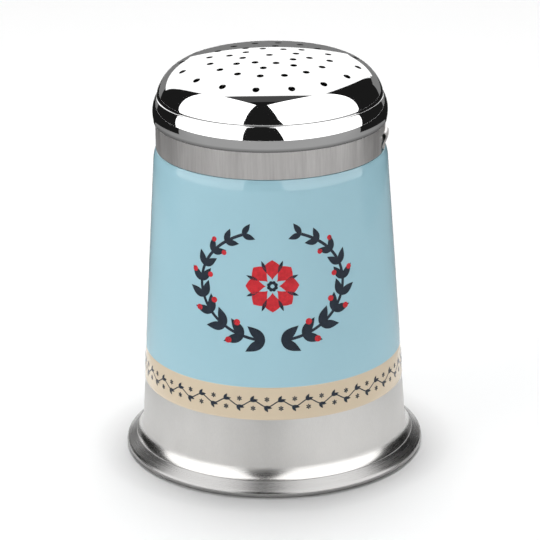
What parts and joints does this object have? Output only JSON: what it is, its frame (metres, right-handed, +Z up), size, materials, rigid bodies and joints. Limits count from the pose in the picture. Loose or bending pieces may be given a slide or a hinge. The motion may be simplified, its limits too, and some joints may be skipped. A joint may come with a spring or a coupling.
{
  "type": "sugar shaker",
  "caption": "Tapered enamelled steel sugar shaker on a rolled foot, with a domed perforated lid that locks by a twist and lifts off the neck.",
  "frame": {"origin": "middle of the circle that the foot stands on, at table level", "axes": "+Z up along the axis of the body and lid; one lock slot lies towards +X; -Y is the side that the picture shows"},
  "size_m": [0.09, 0.09, 0.1216],
  "materials": {
    "shell_steel": "satin",
    "foot_steel": "brushed around",
    "base_steel": "satin",
    "lug_steel": "satin",
    "blue_enamel": "gloss enamel",
    "cream_enamel": "gloss enamel",
    "cap_chrome": "mirror polish",
    "ring_steel": "brushed around"
  },
  "bodies": {
    "body": {"body_shell": "shell_steel", "foot_ring": "foot_steel", "base_plate": "base_steel", "bayonet_lugs": "lug_steel", "blue_enamel": "blue_enamel", "cream_enamel": "cream_enamel"},
    "lid": {"lid_cap": "cap_chrome"},
    "lock": {"lock_ring": "ring_steel"}
  },
  "joints": [
    {"name": "lid_lift", "type": "slide", "parent": "body", "child": "lid", "axis": [0, 0, 1], "range_m": [0, 0.06]},
    {"name": "lock_turn", "type": "hinge", "parent": "lid", "child": "lock", "pos_m": [0, 0, 0.1], "axis": [0, 0, 1], "range_deg": [-11, 0]}
  ]
}
